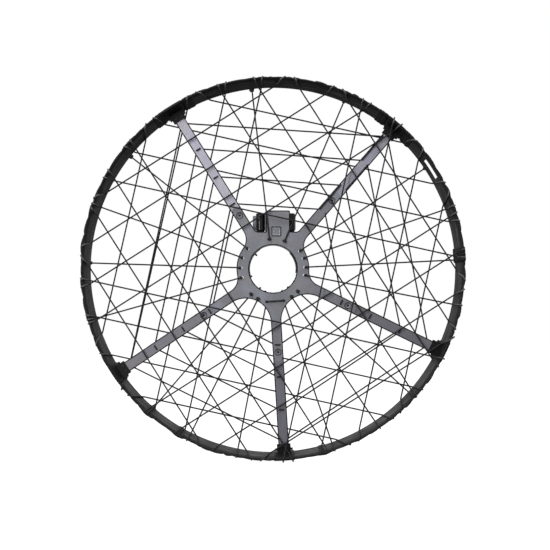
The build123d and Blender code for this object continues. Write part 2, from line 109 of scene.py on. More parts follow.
band_thickness = 0.007
band_rear_r, band_rear_y = 0.7035, 0.022
band_front_r, band_front_y = 0.7185, -0.050
band_rise = (band_front_r - band_rear_r) / (band_rear_y - band_front_y)
band_tilt = math.atan2(band_front_y - band_rear_y, band_front_r - band_rear_r)

clip_half_angle = 3.1
clip_margin = 0.4  # degrees beside a clip where a cord is still lifted
clip_thickness = 0.00325
# radii where the end of a chord may lie on a clip
clip_radii = (band_rear_r - 0.005, band_rear_r + 0.005, band_front_r, band_front_r + 0.007)
bend_r, edge_bend_r, face_bend_r = 0.003, 0.005, 0.012
arc_step = 15  # degrees between the points of an arc
rim_tail = 0.024  # depth of a cord's tail on the band's outer face
chord_spacing = 0.130
chord_offsets = (1.5, 2.5, 3.5, 4.5)  # in chord spacings, both sides of the centre
past_first, past_second = 1.6, 2.6  # in chord spacings, just outside those chords
chord_tilts = {"rising_low": 32.5, "rising_steep": 77.5, "falling_steep": 122.5, "falling_low": 167.5}
web_radii = (0.290, 0.412, 0.538, 0.660)
stitch_half_width, edge_stitch = 0.0085, 0.0145  # from a spar's middle line, sideways
web_joint_before = 0.0122  # one round of the web ends so far inside the next
lace_offset = 0.0017  # from a hole's middle outwards
lace_tail = 0.0045  # a lace's end past the plate's far face
knot_seat_r = 0.702
hub_knot_r = 0.0044
lower_knot_r, joint_knot_r = 0.0082, 0.0055
top_hitch_r, side_hitch_r = 0.0088, 0.0064
side_hitch_shift = 0.004  # outwards
rim_knot_growth = 1.6
knot_points, knot_depth = 36, 1.3
knot_curve_share, knot_strand_share = 0.57, 0.43  # of the ball: its curve's radius and its cord's
knot_pitch = 0.010
joint_knot_gap, rim_knot_gap = 0.002, 0.002
side_r, lower_r, top_r = 0.121, 0.126, 0.113  # of the hub's three groups of lacing holes

# (clock, hub hole radius, passes in front of the plate, radius of a knot at the hoop or 0)
laces = [
    (56.5, side_r, True, 0.0046),
    (71.0, side_r, True, 0.0),
    (87.25, side_r, True, 0.0),
    (101.2, side_r, True, 0.0),
    (254.3, side_r, True, 0.0),
    (271.8, side_r, True, 0.0046),
    (289.7, side_r, True, 0.0),
    (308.3, side_r, True, 0.0065),
    (353.3, top_r, True, 0.0070),
    (23.0, top_r, True, 0.0046),
    (132.25, lower_r, False, 0.0),
    (146.2, lower_r, False, 0.0),
    (161.3, lower_r, False, 0.0),
    (191.0, lower_r, False, 0.0),
    (206.5, lower_r, False, 0.0),
    (220.7, lower_r, False, 0.0),
]
joined_laces = (161.3, 191.0)


def at(r, clock, y=0.0, side=0.0):
    """The point at radius r on a clock angle and depth y, shifted clockwise by side."""
    a = math.radians(clock)
    return Vector((r * math.sin(a) + side * math.cos(a), y, r * math.cos(a) - side * math.sin(a)))


def centre_of(node):
    """Middle of a CAD node's box."""
    low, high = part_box(node)
    return (low + high) / 2


def clock_of(point):
    """Clock angle of a point, in degrees from 0 to 360."""
    return math.degrees(math.atan2(point.x, point.z)) % 360


spar_names = ["upper_left", "upper_right", "lower_right", "bottom", "lower_left"]
button_centre = {name: centre_of(f"release_button_{name}") for name in spar_names}
spar_clock = {name: clock_of(button_centre[name]) for name in spar_names}


def depth(layer):
    """Y of a cord layer: 1, 2, ... count backwards from the plate, -1, -2, ... forwards."""
    step = first_layer + (abs(layer) - 1) * layer_pitch
    return step if layer > 0 else -step


def rim_corners(layer, extra):
    """(radius, y) corners of a cord from its layer up the band's inner face and over its front edge."""
    off = band_thickness / 2 + cord_radius + cord_clearance + extra
    inner_r = band_rear_r + off * math.sin(band_tilt)
    inner_y = band_rear_y - off * math.cos(band_tilt)
    outer_r = band_front_r - off * math.sin(band_tilt)
    outer_y = band_front_y + off * math.cos(band_tilt)
    front_y = band_front_y - off
    tail_y = front_y + rim_tail
    return [
        (inner_r + (inner_y - depth(layer)) * band_rise, depth(layer)),
        (inner_r + (inner_y - front_y) * band_rise, front_y),
        (outer_r + (outer_y - front_y) * band_rise, front_y),
        (outer_r + (outer_y - tail_y) * band_rise, tail_y),
    ]


def near_clip(clock):
    """True where a rim clip is under or just beside a clock angle."""
    reach = clip_half_angle + clip_margin
    return any(abs((clock - c + 180) % 360 - 180) < reach for c in spar_clock.values())


def chord_point(tilt, offset, along, y):
    """The point at a distance along the chord that has this tilt and offset from the centre."""
    t = math.radians(tilt)
    return Vector(
        (along * math.cos(t) - offset * math.sin(t), y, along * math.sin(t) + offset * math.cos(t))
    )


def clip_lift(tilt, offset, sign):
    """Thickness of the clip under one end of a chord, or nothing."""
    for r in clip_radii:
        along = sign * math.sqrt(r * r - offset * offset)
        if near_clip(clock_of(chord_point(tilt, offset, along, 0.0))):
            return clip_thickness
    return 0.0


def chord_layer(family, offset):
    """Layer of a chord: the low and falling families lie in front, the others mostly behind."""
    steps = abs(offset) / chord_spacing
    if family == "rising_low":
        return -2
    if family == "falling_steep":
        return -3
    if family == "falling_low":
        return -4 if steps < past_first else 4
    return -5 if offset < 0 and steps < past_second else 3


def rounded(corners, radii):
    """The line through corners, with each corner turned on an arc."""
    line = [corners[0]]
    for before, corner, after, radius in zip(corners, corners[1:], corners[2:], radii):
        into, out_of = (corner - before).normalized(), (after - corner).normalized()
        turn = into.angle(out_of)
        reach = radius * math.tan(turn / 2)
        centre = corner + (out_of - into).normalized() * radius / math.cos(turn / 2)
        start, end = corner - into * reach - centre, corner + out_of * reach - centre
        count = max(2, math.ceil(math.degrees(turn) / arc_step))
        line += [centre + start.slerp(end, i / count).normalized() * radius for i in range(count + 1)]
    return line + [corners[-1]]


def chord_lines(family):
    """Each chord of a family, tied over the band at both ends."""
    tilt = chord_tilts[family]
    for steps in chord_offsets:
        for offset in (-steps * chord_spacing, steps * chord_spacing):
            layer = chord_layer(family, offset)
            ends = [
                [
                    chord_point(tilt, offset, sign * math.sqrt(r * r - offset * offset), y)
                    for r, y in rim_corners(layer, clip_lift(tilt, offset, sign))
                ]
                for sign in (-1, 1)
            ]
            radii = [edge_bend_r, edge_bend_r, face_bend_r]
            yield rounded(ends[0][::-1] + ends[1], radii + radii[::-1])


def lace_end(in_front):
    """Depth of a lace's end, past the plate's face that it doesn't come from."""
    return half_plate + lace_tail if in_front else -half_plate - lace_tail


def radial_lines():
    """Each lace from its hole in the hub to its knot, or over the band."""
    rim_radii = [face_bend_r, edge_bend_r, edge_bend_r]
    for clock, lace_r, in_front, knot_r in laces:
        layer = -1 if in_front else 2
        hole_r = lace_r + lace_offset
        if clock == joined_laces[0]:
            continue
        if knot_r:
            outward = [at(knot_seat_r - knot_r, clock, depth(layer))]
        else:
            outward = [at(r, clock, y) for r, y in rim_corners(layer, 0.0)]
        if clock == joined_laces[1]:
            # one cord runs in, through the plate, across its front and out again
            through = [
                at(hole_r, joined_laces[1], depth(layer)),
                at(hole_r, joined_laces[1], depth(-1)),
                at(hole_r, joined_laces[0], depth(-1)),
                at(hole_r, joined_laces[0], depth(layer)),
            ]
            second = [at(r, joined_laces[0], y) for r, y in rim_corners(layer, 0.0)]
            yield rounded(outward[::-1] + through + second, rim_radii[::-1] + [bend_r] * 4 + rim_radii)
            continue
        start = [at(hole_r, clock, lace_end(in_front)), at(hole_r, clock, depth(layer))]
        yield rounded(start + outward, [bend_r] + ([] if knot_r else rim_radii))


def web_lines():
    """The rounds of the web, which run opposite ways round the cage by turns."""
    back, front = depth(1), depth(-1)
    upper = spar_clock["upper_right"]
    others = spar_names[2:] + spar_names[:1]
    for number, r in enumerate(web_radii):
        clockwise = number % 2 == 0
        enter = -1 if clockwise else 1
        start_side = edge_stitch if clockwise else -edge_stitch
        last = number == len(web_radii) - 1
        if number == 0:
            corners = [at(r, upper, front - cord_radius, start_side)]
        else:
            corners = [at(r - web_joint_before, upper, front, start_side)]
            corners.append(at(r, upper, front, start_side))
        corners.append(at(r, upper, back, start_side))
        for name in others if clockwise else others[::-1]:
            clock = spar_clock[name]
            if last:
                corners.append(at(r, clock, back))
                continue
            near, far = enter * stitch_half_width, -enter * stitch_half_width
            corners += [at(r, clock, back, near), at(r, clock, front, near)]
            corners += [at(r, clock, front, far), at(r, clock, back, far)]
        if last:
            corners.append(at(r, upper, back, edge_stitch))
        else:
            corners += [at(r, upper, back, -start_side), at(r, upper, front, -start_side)]
            corners.append(at(web_radii[number + 1] - web_joint_before, upper, front, -start_side))
        yield rounded(corners, [bend_r] * (len(corners) - 2))


def evenly(line, step):
    """The same line with a point about every step."""
    points = [line[0]]
    for a, b in zip(line, line[1:]):
        count = max(1, round((b - a).length / step))
        points += [a.lerp(b, i / count) for i in range(1, count + 1)]
    return points


class MeshData:
    """Vertices, faces and face-corner UVs of a mesh that is built up piece by piece."""

    def __init__(self):
        self.vertices, self.faces, self.uvs = [], [], []

    def tube(self, points, radius_at, sides, closed=False):
        """Rings of vertices along points; radius_at(angle, travelled, ring number) shapes each ring."""
        first = len(self.vertices)
        tangent = (points[1] - points[0]).normalized()
        normal = tangent.orthogonal().normalized()
        travelled, lengths = 0.0, []
        for i, point in enumerate(points):
            if i:
                travelled += (point - points[i - 1]).length
            ahead = points[min(i + 1, len(points) - 1)] - points[max(i - 1, 0)]
            if closed:
                ahead = points[(i + 1) % len(points)] - points[i - 1]
            tangent = ahead.normalized()
            normal = (normal - tangent * normal.dot(tangent)).normalized()
            side = tangent.cross(normal)
            lengths.append(travelled)
            for k in range(sides):
                angle = 2 * math.pi * k / sides
                reach = radius_at(angle, travelled, i)
                self.vertices.append(point + (normal * math.cos(angle) + side * math.sin(angle)) * reach)
        rings = len(points)
        for i in range(rings if closed else rings - 1):
            j = (i + 1) % rings
            near, far = first + i * sides, first + j * sides
            low = lengths[i]
            high = lengths[j] if j else low + lengths[1]
            for k in range(sides):
                m = (k + 1) % sides
                u0, u1 = k / sides, (k + 1) / sides
                self.faces.append((near + k, near + m, far + m, far + k))
                self.uvs += [(u0, low), (u1, low), (u1, high), (u0, high)]
        if not closed:
            self.faces.append(tuple(first + k for k in reversed(range(sides))))
            self.faces.append(tuple(first + (rings - 1) * sides + k for k in range(sides)))
            self.uvs += [(0.5, 0.0)] * (2 * sides)

    def skin(self, rings, sides, closed=False, u_step=1, v_step=1):
        """Faces over the last rings of vertices, from each ring to the next."""
        first = len(self.vertices) - rings * sides
        for i in range(rings if closed else rings - 1):
            near, far = first + i * sides, first + (i + 1) % rings * sides
            u0, u1 = i * u_step, (i + 1) * u_step
            for k in range(sides):
                m = (k + 1) % sides
                v0, v1 = k * v_step, (k + 1) * v_step
                self.faces.append((near + k, far + k, far + m, near + m))
                self.uvs += [(u0, v0), (u1, v0), (u1, v1), (u0, v1)]

    def piece(self, name, finish, smooth=True, rides=body):
        """The mesh as a piece with a finish, which rides on the cage or on the body given."""
        mesh = bpy.data.meshes.new(name)
        mesh.from_pydata(self.vertices, [], self.faces)
        layer = mesh.uv_layers.new(name="UVMap")
        layer.data.foreach_set("uv", [value for uv in self.uvs for value in uv])
        if smooth:
            mesh.shade_smooth()
        mesh.materials.append(finish)
        made = bpy.data.objects.new(name, mesh)
        bpy.context.scene.collection.objects.link(made)
        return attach(made, rides)


def strands(radius, groove=0.2, pitch=cord_pitch):
    """Radius of a twisted cord's section: round strands that turn once in every pitch."""

    def radius_at(angle, travelled, ring):
        turned = angle - 2 * math.pi * travelled / pitch
        return radius * (1 - groove + groove * abs(math.cos(strand_count * turned / 2)))

    return radius_at


def cord_piece(name, lines, finish, node):
    """One piece of twisted cords along lines, in place of a CAD node."""
    data = MeshData()
    for line in lines:
        points = evenly(line, cord_pitch / rings_per_turn)
        data.tube(points, strands(sheath_radius, groove=sheath_groove), cord_sides)
    made = data.piece(name, finish)
    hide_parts(node)


def knot_line(centre, axis, radius):
    """A closed overhand knot round axis: a trefoil curve, which keeps within radius of its centre."""
    across = axis.orthogonal().normalized()
    up = axis.cross(across).normalized()
    line = []
    for i in range(knot_points):
        t = 2 * math.pi * i / knot_points
        a = math.sin(t) + 2 * math.sin(2 * t)
        b = math.cos(t) - 2 * math.cos(2 * t)
        c = -math.sin(3 * t)
        line.append(centre + (across * a + up * b + axis * c * knot_depth) * radius / 3)
    return line


def knots_piece(finish):
    """Knots at the laces' ends, and a hitch on each front lace just before its hole."""
    data = MeshData()
    through_plate = Vector((0, 1, 0))

    def knot(centre, axis, ball):
        section = strands(knot_strand_share * ball, pitch=knot_pitch)
        data.tube(knot_line(centre, axis, knot_curve_share * ball), section, cord_sides, closed=True)

    for clock, lace_r, in_front, knot_r in laces:
        hole_r = lace_r + lace_offset
        if clock in joined_laces:
            knot(at(hole_r, clock, -half_plate - joint_knot_gap), through_plate, joint_knot_r)
        elif in_front:
            knot(at(hole_r, clock, lace_end(in_front)), through_plate, hub_knot_r)
            hitch_r, shift = (top_hitch_r, 0.0) if lace_r == top_r else (side_hitch_r, side_hitch_shift)
            knot(at(hole_r + shift, clock, depth(-1)), at(1, clock), hitch_r)
        else:
            knot(at(hole_r, clock, lace_end(in_front)), through_plate, lower_knot_r)
        if knot_r:
            ball = rim_knot_growth * knot_r
            layer = -1 if in_front else 2
            knot(at(knot_seat_r - rim_knot_gap - ball, clock, depth(layer)), at(1, clock), ball)
    made = data.piece("lacing_knots", finish)
    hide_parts("cord_knots")


# ---- finishes ----

dark_edge = (0.012, 0.012, 0.014)
facing_range = (0.80, 0.97)  # of a normal's Y, from a part's edge to its face
coat_metallic = 0.15


def new_finish(name, colour, roughness, metallic=0.0, **sockets):
    """A material with one Principled shader; sockets are more of its settings, with _ for spaces."""
    material = bpy.data.materials.new(name)
    material.use_nodes = True
    shader = material.node_tree.nodes["Principled BSDF"]
    shader.inputs["Base Color"].default_value = (*colour, 1)
    shader.inputs["Roughness"].default_value = roughness
    shader.inputs["Metallic"].default_value = metallic
    for key, value in sockets.items():
        shader.inputs[key.replace("_", " ")].default_value = value
    return material


def add(material, kind, inputs=None, **settings):
    """Add a shader node; inputs gives socket values, or the outputs that they are linked from."""
    node = material.node_tree.nodes.new(kind)
    for key, value in settings.items():
        setattr(node, key, value)
    for key, value in (inputs or {}).items():
        if isinstance(value, bpy.types.NodeSocket):
            material.node_tree.links.new(value, node.inputs[key])
        else:
            node.inputs[key].default_value = value
    return node


def coordinates(material, turn=0.0, scale=(1, 1, 1)):
    """The object's own coordinates, turned about Y by minus a clock angle and then scaled."""
    own = add(material, "ShaderNodeTexCoord").outputs["Object"]
    turned = add(
        material,
        "ShaderNodeVectorRotate",
        {"Vector": own, "Angle": -math.radians(turn)},
        rotation_type="Y_AXIS",
    )
    return add(
        material, "ShaderNodeVectorMath", {0: turned.outputs["Vector"], 1: scale}, operation="MULTIPLY"
    ).outputs["Vector"]


def noise(material, vector, scale, detail=3.0, roughness=0.55):
    """A noise texture's value, about 0.5."""
    inputs = {"Vector": vector, "Scale": scale, "Detail": detail, "Roughness": roughness}
    return add(material, "ShaderNodeTexNoise", inputs).outputs["Fac"]


def maths(material, operation, a, b=0.0, c=0.0):
    """The value of a Math node."""
    return add(material, "ShaderNodeMath", {0: a, 1: b, 2: c}, operation=operation).outputs["Value"]


def spread(material, value, low, high, from_low=0.0, from_high=1.0, smooth=False):
    """Value's range from_low to from_high mapped onto low to high, clamped."""
    inputs = {"Value": value, "From Min": from_low, "From Max": from_high, "To Min": low, "To Max": high}
    kind = "SMOOTHSTEP" if smooth else "LINEAR"
    return add(material, "ShaderNodeMapRange", inputs, interpolation_type=kind).outputs["Result"]


def ramp(material, factor, *stops):
    """Colours by factor; each stop is (place, colour)."""
    node = add(material, "ShaderNodeValToRGB", {"Fac": factor})
    elements = node.color_ramp.elements
    while len(elements) < len(stops):
        elements.new(1.0)
    for element, (place, colour) in zip(elements, stops):
        element.position = place
        element.color = (*colour, 1)
    return node.outputs["Color"]


def mixed(material, factor, a, b, blend="MIX"):
    """Colour b over colour a by factor; each is a socket or a constant."""
    factor_socket, a_socket, b_socket, colour_output = 0, 6, 7, 2  # of a Mix node set to colours
    a, b = (c if isinstance(c, bpy.types.NodeSocket) else (*c, 1) for c in (a, b))
    inputs = {factor_socket: factor, a_socket: a, b_socket: b}
    node = add(material, "ShaderNodeMix", inputs, data_type="RGBA", blend_type=blend)
    return node.outputs[colour_output]


def grey(material, value):
    """A grey colour from a value."""
    return add(material, "ShaderNodeCombineXYZ", {0: value, 1: value, 2: value}).outputs["Vector"]


def shaded(material, colour, value, low, high, from_low=0.0, from_high=1.0):
    """Colour made darker or lighter by a value, as spread maps it."""
    share = spread(material, value, low, high, from_low, from_high)
    return mixed(material, 1.0, colour, grey(material, share), "MULTIPLY")


def drive(material, socket, output):
    """Link a node's output to a socket of the material's shader."""
    shader = material.node_tree.nodes["Principled BSDF"]
    material.node_tree.links.new(output, shader.inputs[socket])


def bump(material, height, distance, strength=0.6):
    """Drive the shader's normal by a height."""
    inputs = {"Height": height, "Distance": distance, "Strength": strength}
    drive(material, "Normal", add(material, "ShaderNodeBump", inputs).outputs["Normal"])


def facing_front(material):
    """1 on faces that look along Y, falling to 0 on a part's edges and sides."""
    normal = add(material, "ShaderNodeTexCoord").outputs["Normal"]
    y = add(material, "ShaderNodeSeparateXYZ", {0: normal}).outputs["Y"]
    return spread(material, maths(material, "ABSOLUTE", y), 0.0, 1.0, *facing_range, smooth=True)


def scaled(colour, factor):
    """A colour times a factor."""
    return tuple(c * factor for c in colour)


def flat_bar_finish(name, clock, tone, waves):
    """Coated flat bar: lengthwise streaks, cool and warm patches, speckle and dark worn edges."""
    material = new_finish(name, tone, roughness=0.45, metallic=coat_metallic)
    lengthwise = coordinates(material, clock, scale=(60, 60, 4))
    streaks = noise(material, lengthwise, scale=6.0, detail=4.0)
    patches = noise(material, coordinates(material, clock), scale=13.0, detail=2.0)
    speckle = noise(material, coordinates(material), scale=900.0, detail=2.0)
    cool = (tone[0] * 0.90, tone[1] * 0.92, tone[2] * 1.02)
    warm = (tone[0] * 1.10, tone[1] * 1.03, tone[2] * 0.96)
    colour = ramp(material, patches, (0.30, cool), (0.52, tone), (0.72, warm))
    colour = shaded(material, colour, streaks, 0.80, 1.18)
    colour = shaded(material, colour, speckle, 0.88, 1.12)
    height = maths(material, "MULTIPLY_ADD", speckle, 0.35, streaks)
    wave_inputs = {
        "Vector": coordinates(material, clock, scale=(6, 6, 1)),
        "Scale": 40.0,
        "Distortion": 3.0,
        "Detail": 2.0,
    }
    ripple = add(material, "ShaderNodeTexWave", wave_inputs, bands_direction="Z").outputs["Fac"]
    colour = shaded(material, colour, ripple, 1 - waves, 1 + waves)
    height = maths(material, "MULTIPLY_ADD", ripple, 0.6, height)
    drive(material, "Base Color", mixed(material, facing_front(material), dark_edge, colour))
    drive(material, "Roughness", spread(material, streaks, 0.36, 0.55))
    bump(material, height, distance=0.0004, strength=0.35)
    return material


def hub_finish():
    """Bead-blasted and anodised plate with cool and warm clouds."""
    tone = (0.128, 0.129, 0.148)
    cool, warm = scaled((0.134, 0.142, 0.166), 1.22), (0.165, 0.152, 0.146)
    material = new_finish("hub_anodised", tone, roughness=0.5, metallic=coat_metallic)
    clouds = noise(material, coordinates(material), scale=9.0, detail=3.0)
    warm_clouds = noise(material, coordinates(material, turn=40.0, scale=(1, 1, 1.3)), scale=14.0, detail=2.0)
    grain = noise(material, coordinates(material), scale=1200.0, detail=2.0)
    brushed = noise(material, coordinates(material, scale=(6, 6, 90)), scale=9.0, detail=3.0)
    colour = ramp(material, clouds, (0.30, scaled(tone, 0.86)), (0.50, tone), (0.70, cool))
    warm_share = spread(material, warm_clouds, 0.0, 0.55, from_low=0.50, from_high=0.72)
    colour = mixed(material, warm_share, colour, warm)
    colour = shaded(material, colour, grain, 0.74, 1.26)
    colour = shaded(material, colour, brushed, 0.93, 1.07)
    drive(material, "Base Color", mixed(material, facing_front(material), dark_edge, colour))
    drive(material, "Roughness", spread(material, clouds, 0.42, 0.58))
    bump(material, maths(material, "MULTIPLY_ADD", brushed, 0.3, grain), distance=0.0003, strength=0.4)
    return material


def hoop_finish():
    """Composite band: streaks that run round the hoop, under a thin satin coat."""
    dark, middle, light = (0.003, 0.003, 0.0035), (0.015, 0.015, 0.016), (0.062, 0.060, 0.064)
    across, deep, around = 60.0, 150.0, 9.0  # how fine the streaks are each way
    material = new_finish("hoop_composite", (0.02, 0.02, 0.022), roughness=0.55, Specular_IOR_Level=0.22)
    own = add(material, "ShaderNodeTexCoord").outputs["Object"]
    parts = add(material, "ShaderNodeSeparateXYZ", {0: own}).outputs
    z_squared = maths(material, "MULTIPLY", parts["Z"], parts["Z"])
    radius = maths(material, "SQRT", maths(material, "MULTIPLY_ADD", parts["X"], parts["X"], z_squared))
    angle = maths(material, "ARCTAN2", parts["X"], parts["Z"])
    polar = {
        0: maths(material, "MULTIPLY", radius, across),
        1: maths(material, "MULTIPLY", parts["Y"], deep),
        2: maths(material, "MULTIPLY", angle, around),
    }
    round_the_hoop = add(material, "ShaderNodeCombineXYZ", polar).outputs["Vector"]
    streaks = noise(material, round_the_hoop, scale=1.0, detail=5.0, roughness=0.6)
    blotches = noise(material, coordinates(material), scale=11.0, detail=3.0)
    colour = ramp(material, streaks, (0.34, dark), (0.50, middle), (0.66, light))
    colour = shaded(material, colour, blotches, 0.6, 1.3, from_low=0.3, from_high=0.7)
    drive(material, "Base Color", colour)
    drive(material, "Roughness", spread(material, streaks, 0.48, 0.68))
    bump(material, streaks, distance=0.0010)
    return material


def moulded_finish(name, tone, roughness, specular, grain_scale=1500.0):
    """Moulded plastic or rubber: fine pebble grain, faint marks and rubbed patches."""
    material = new_finish(name, tone, roughness, Specular_IOR_Level=specular)
    pebble = noise(material, coordinates(material), grain_scale, detail=2.0)
    rubbed = noise(material, coordinates(material), scale=45.0)
    colour = ramp(material, rubbed, (0.35, scaled(tone, 0.75)), (0.55, tone), (0.75, scaled(tone, 1.6)))
    drive(material, "Base Color", colour)
    drive(material, "Roughness", spread(material, rubbed, roughness - 0.08, roughness + 0.12))
    bump(material, pebble, distance=0.0002, strength=0.4)
    return material


def metal_finish(name, tone, roughness, brushed=(1, 1, 1)):
    """Machined metal with fine turned or drawn lines and slight tarnish."""
    material = new_finish(name, tone, roughness, metallic=0.9)
    lines = noise(material, coordinates(material, scale=brushed), scale=1400.0, detail=2.0)
    tarnish = noise(material, coordinates(material), scale=120.0)
    colour = ramp(material, tarnish, (0.35, scaled(tone, 0.7)), (0.6, tone), (0.8, scaled(tone, 1.15)))
    drive(material, "Base Color", colour)
    drive(material, "Roughness", spread(material, tarnish, roughness - 0.06, roughness + 0.12))
    bump(material, lines, distance=0.0001, strength=0.4)
    return material


def cord_finish():
    """Twisted synthetic cord: fibres that run with the strands, painted shade in the grooves, a painted
    highlight on the upper band.
    """
    shade, tone, worn = (0.008, 0.008, 0.009), (0.016, 0.016, 0.018), (0.036, 0.036, 0.039)
    # the pale grey of a painted highlight, standing in for the shine of the light from above on cords that
    # cross the upper band
    painted_highlight_grey = (0.085, 0.085, 0.090)
    material = new_finish("cord_fibre", tone, roughness=0.7, Specular_IOR_Level=0.2)
    uv = add(material, "ShaderNodeTexCoord").outputs["UV"]
    parts = add(material, "ShaderNodeSeparateXYZ", {0: uv}).outputs
    turns = maths(material, "MULTIPLY", parts["Y"], 1 / cord_pitch)
    strand = maths(material, "SUBTRACT", parts["X"], turns)
    fibre_place = {0: maths(material, "MULTIPLY", strand, 24.0), 1: maths(material, "MULTIPLY", turns, 2.0)}
    along_fibres = add(material, "ShaderNodeCombineXYZ", fibre_place).outputs["Vector"]
    fibres = noise(material, along_fibres, scale=3.0)
    wave = maths(material, "COSINE", maths(material, "MULTIPLY", strand, strand_count * math.pi))
    groove = maths(material, "ABSOLUTE", wave)
    fleck = noise(material, coordinates(material), scale=30.0, detail=2.0)
    colour = ramp(material, fibres, (0.30, shade), (0.55, tone), (0.75, worn))
    # painted shade: the colour darkens to about a third in the grooves between the strands
    colour = shaded(material, colour, groove, 0.35, 1.0, from_low=0.0, from_high=0.6)
    colour = shaded(material, colour, fleck, 0.75, 1.3, from_low=0.3, from_high=0.7)
    own = add(material, "ShaderNodeTexCoord").outputs["Object"]
    z = add(material, "ShaderNodeSeparateXYZ", {0: own}).outputs["Z"]
    from_axis = add(material, "ShaderNodeVectorMath", {0: own, 1: (1, 0, 1)}, operation="MULTIPLY")
    reach = add(material, "ShaderNodeVectorMath", {0: from_axis.outputs["Vector"]}, operation="LENGTH")
    # painted highlight: cords lying on the band are painted lighter, more so higher up the hoop, where the
    # light from above catches them
    on_band = spread(material, reach.outputs["Value"], 0.0, 1.0, from_low=0.700, from_high=0.706)
    upper = spread(material, z, 0.0, 0.8, from_low=-0.45, from_high=-0.15)
    painted_highlight_share = maths(material, "MULTIPLY", on_band, upper)
    drive(material, "Base Color", mixed(material, painted_highlight_share, colour, painted_highlight_grey))
    bump(material, maths(material, "MULTIPLY_ADD", fibres, 0.3, groove), distance=0.0003, strength=0.5)
    return material


def dress(node, finish):
    """Give a CAD node its finish."""
    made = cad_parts[node]
    made.data.materials.clear()
    made.data.materials.append(finish)


# ---- trim on the hoop, the flat parts and the hub opening ----

section_steps = 8  # along each rounded edge of the band's section
slot_clock, slot_margin = (54.5, 61.0), 1.2
cover_gap, cover_sides = 0.0005, 20
cover_base, cover_puff = 0.0002, 0.0048
cover_share, cover_share_at_slot = 0.16, 0.02  # of the band's width under the binding
cover_lean = math.radians(-20)  # the lumps grow outwards and a little forwards
cover_fade = 1.5  # how fast they fade away from there
# lumps in the binding: width and step in degrees, height as a share, place of the top as a power
lump_widths, lump_heights, lump_leans = (2.2, 6.5), (0.25, 1.0), (0.5, 1.8)
lump_step = 0.45
low_lumps, lump_fullness = 1.3, 0.6
crease_count, crease_depth = 11, 0.10
# bulges over knots: (clock, half width in degrees, height)
bulges = [
    (49.5, 2.2, 0.0030), (66.0, 1.6, 0.0035), (164.8, 2.0, 0.0030), (199.5, 4.0, 0.0045),
    (209.4, 2.2, 0.0045), (220.6, 2.4, 0.0040), (255.0, 2.0, 0.0030), (276.0, 2.8, 0.0030),
]
bulge_fullness = 0.7

tape_half_angle, tape_clearance = 7.0, 0.2  # where the tape ends, and its gap to the rim clip
tape_rings_per_turn = 6
tape_gap, tape_ridge = 0.0002, 0.0015
sleeve_gap, sleeve_growth = 0.0003, 0.0022
sleeve_rounding = (0.0, 0.55, 0.85, 1.0, 1.0, 1.0, 1.0, 0.85, 0.55, 0.0)

opening_r, wall_gap = 0.092, 0.0001
rubber_cut = 0.0006
degrees_per_ring = 3
lip_rings = 181

badge_frame_half, badge_frame_r, badge_frame_rise = 0.0122, 0.0008, 0.0001
bezel_ring_r, bezel_ring_inset, bezel_ring_rise = 0.0013, 0.0007, 0.0004
# (y from the button's face, radius) along the dimple
dimple_profile = ((0.0010, 0.0033), (-0.0001, 0.0033), (-0.0003, 0.0026))

# (towards the middle of the face, above the face) corners of the lacquer on an edge
seal_section = (
    (-0.0009, -0.0022), (-0.0011, -0.0004), (-0.0005, 0.0004),
    (0.0026, 0.0004), (0.0030, -0.0002), (0.0010, -0.0022),
)
seal_step, shortest_seal = 0.003, 0.12
flat_tolerance = 2e-5
seal_sink = 0.0005  # of the thinner lacquer at a lap
seal_at_spar_lap, seal_at_hub_lap = 0.15, 0.55  # its size there
lap_past_button, lap_end_r = 0.017, 0.0191  # the round end of a half lap
lap_half_width, lap_tolerance = 0.0165, 0.0009


def band_section(growth):
    """(radius, y) points round the band's section, grown all round."""
    reach = band_thickness / 2 + growth
    along = math.atan2(band_rear_y - band_front_y, band_rear_r - band_front_r)
    points = []
    for (r, y), start in (
        ((band_rear_r, band_rear_y), along - math.pi / 2),
        ((band_front_r, band_front_y), along + math.pi / 2),
    ):
        for i in range(section_steps + 1):
            a = start + math.pi * i / section_steps
            points.append((r + reach * math.cos(a), y + reach * math.sin(a)))
    return points


def swept_section(name, start, end, sections, finish, smooth=True):
    """A closed skin from section to section round the Y axis between two clock angles."""
    data = MeshData()
    rings, sides = len(sections), len(sections[0])
    for i, section in enumerate(sections):
        clock = start + (end - start) * i / (rings - 1)
        data.vertices += [at(r, clock, y) for r, y in section]
    data.skin(rings, sides, u_step=1 / (rings - 1), v_step=1 / sides)
    data.faces.append(tuple(range(sides)))
    data.faces.append(tuple((rings - 1) * sides + k for k in reversed(range(sides))))
    data.uvs += [(0.5, 0.5)] * (2 * sides)
    made = data.piece(name, finish, smooth)


def tape_wrap(name, start, end, turns, growth, finish):
    """Tape wound round the band in overlapping turns."""
    count = turns * tape_rings_per_turn
    sections = []
    for i in range(count + 1):
        share = (i * turns / count) % 1.0
        taper = min(1.0, i / 2, (count - i) / 2)
        sections.append(band_section(tape_gap + taper * (growth + tape_ridge * (1 - share))))
    swept_section(name, start, end, sections, finish, smooth=False)


def sleeve(name, clock, length, finish):
    """A short moulded sleeve round the band, with rounded ends."""
    half = math.degrees(length / 2 / band_front_r)
    sections = [band_section(sleeve_gap + sleeve_growth * share) for share in sleeve_rounding]
    swept_section(name, clock - half, clock + half, sections, finish)


def badge_frame(finish):
    """A plain thin square inside the badge's rim."""
    middle = centre_of("badge_plate")
    middle.y = -half_plate - badge_frame_rise
    half = badge_frame_half
    corners = [middle + Vector((half * x, 0, half * z)) for x, z in ((-1, -1), (1, -1), (1, 1), (-1, 1))]
    points = evenly(corners + corners[:1], 0.001)[:-1]
    data = MeshData()
    data.tube(points, lambda angle, travelled, ring: badge_frame_r, 8, closed=True)
    made = data.piece("badge_inner_frame", finish)


